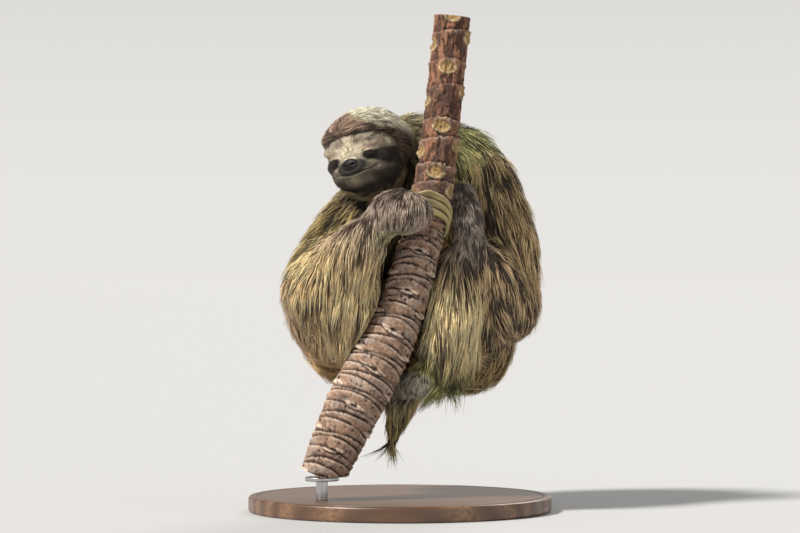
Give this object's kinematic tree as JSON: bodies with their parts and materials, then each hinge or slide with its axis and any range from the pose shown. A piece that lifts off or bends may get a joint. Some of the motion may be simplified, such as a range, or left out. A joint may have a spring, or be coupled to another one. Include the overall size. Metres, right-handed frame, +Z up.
{
  "type": "three-toed sloth model",
  "caption": "Still life-size model of a brown-throated three-toed sloth hugging a short length of ringed tree stem, on a round base with a short rod.",
  "frame": {"origin": "middle of the stand base's underside, level with the floor", "axes": "+Z up; the sloth looks towards -Y, its own left is +X; the stem leans in the plane y = -0.07 m"},
  "size_m": [0.31, 0.31, 0.5016],
  "materials": {
    "fur_tan": "matte",
    "fur_brown": "matte",
    "fur_olive": "matte",
    "fur_grey": "matte",
    "face_fur": "matte",
    "eye_brown": "gloss",
    "claw_horn": "satin",
    "bark": "matte",
    "stand_wood": "satin",
    "stand_steel": "satin"
  },
  "bodies": {
    "root": {"forearm_right": "fur_tan", "forearm_left": "fur_tan", "shank_right": "fur_tan", "shank_left": "fur_tan", "thigh_right": "fur_brown", "thigh_left": "fur_brown", "torso": "fur_brown", "tail": "fur_brown", "ear_left": "fur_brown", "ear_right": "fur_brown", "upper_arm_right": "fur_olive", "upper_arm_left": "fur_olive", "neck": "fur_olive", "hand_right": "fur_grey", "hand_left": "fur_grey", "foot_right": "fur_grey", "foot_left": "fur_grey", "head": "face_fur", "eye_left": "eye_brown", "eye_right": "eye_brown", "claw_hand_right_1": "claw_horn", "claw_hand_right_2": "claw_horn", "claw_hand_right_3": "claw_horn", "claw_hand_left_1": "claw_horn", "claw_hand_left_2": "claw_horn", "claw_hand_left_3": "claw_horn", "claw_foot_left_1": "claw_horn", "claw_foot_left_2": "claw_horn", "claw_foot_left_3": "claw_horn", "claw_foot_right_1": "claw_horn", "claw_foot_right_2": "claw_horn", "claw_foot_right_3": "claw_horn", "perch": "bark", "stand_base": "stand_wood", "stand_rod": "stand_steel", "stand_plate": "stand_steel"}
  },
  "joints": []
}
